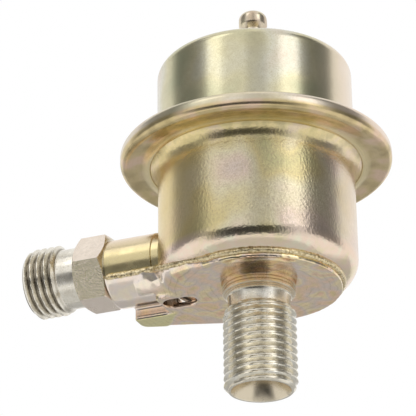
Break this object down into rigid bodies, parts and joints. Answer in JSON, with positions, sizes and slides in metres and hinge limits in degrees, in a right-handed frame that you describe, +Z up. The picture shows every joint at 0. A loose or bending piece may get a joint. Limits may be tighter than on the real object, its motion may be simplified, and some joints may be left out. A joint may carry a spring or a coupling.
{
  "type": "fuel pressure regulator",
  "caption": "Fuel pressure regulator: crimped two-part round housing with a sprung diaphragm valve, threaded outlet stud, side inlet union and vacuum nipple.",
  "frame": {"origin": "on the outlet stud's axis at the lower face of the saddle plate, where the stud's collar begins", "axes": "+Z up along the stud's axis to the vacuum nipple, -X along the inlet union, +Y to the side with the plate's lug"},
  "size_m": [0.074, 0.0532, 0.0811],
  "materials": {
    "plated_steel": "yellow-passivated zinc plating, satin, slightly iridescent",
    "plated_turned": "turned steel with pale yellow-passivated zinc plating",
    "braze": "granular braze under thin plating",
    "bare_steel": "bare turned or pressed steel",
    "spring_steel": "oiled spring wire",
    "diaphragm_rubber": "matt rubberised cloth"
  },
  "bodies": {
    "housing": {"upper_housing": "plated_steel", "vacuum_nipple": "plated_steel", "lower_housing": "plated_steel", "saddle_plate": "plated_steel", "base_braze": "braze", "union_braze": "braze", "inlet_union": "plated_turned", "outlet_stud": "plated_turned", "seat_tube": "bare_steel", "diaphragm": "diaphragm_rubber", "pressure_spring": "spring_steel"},
    "valve": {"spring_plate": "bare_steel", "valve_holder": "bare_steel", "valve_ball": "bare_steel", "valve_plate": "bare_steel", "valve_retainer": "bare_steel", "ball_spring": "spring_steel"}
  },
  "joints": [
    {"name": "valve_lift", "type": "slide", "parent": "housing", "child": "valve", "axis": [0, 0, 1], "range_m": [0, 0.001], "stiffness_N_per_m": 6000, "springref_m": -0.016, "deforming": ["diaphragm", "pressure_spring"]}
  ]
}
